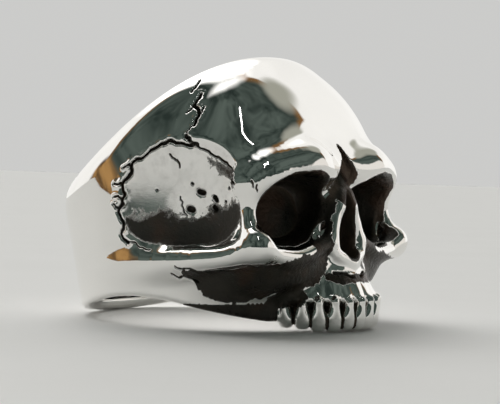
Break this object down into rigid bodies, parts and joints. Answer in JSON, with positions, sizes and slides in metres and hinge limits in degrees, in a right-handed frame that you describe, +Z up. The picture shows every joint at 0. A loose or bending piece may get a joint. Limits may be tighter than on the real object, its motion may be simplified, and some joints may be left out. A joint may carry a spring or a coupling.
{
  "type": "skull ring",
  "caption": "Cast finger ring shaped as a skull with no lower jaw: deep eye sockets, a row of upper teeth, hollow temples and a plain band behind, with a straight finger hole through it.",
  "frame": {"origin": "where the finger hole's axis meets the plane that the ring rests on", "axes": "+Z up, square to the resting plane; -Y towards the face; +X towards the skull's left side"},
  "size_m": [0.0248, 0.0298, 0.0229],
  "materials": {
    "silver": "polished cast silver, with a dark patina left in the sockets, the nose, the cheeks and between the teeth"
  },
  "bodies": {
    "root": {"skull_ring": "silver"}
  },
  "joints": []
}
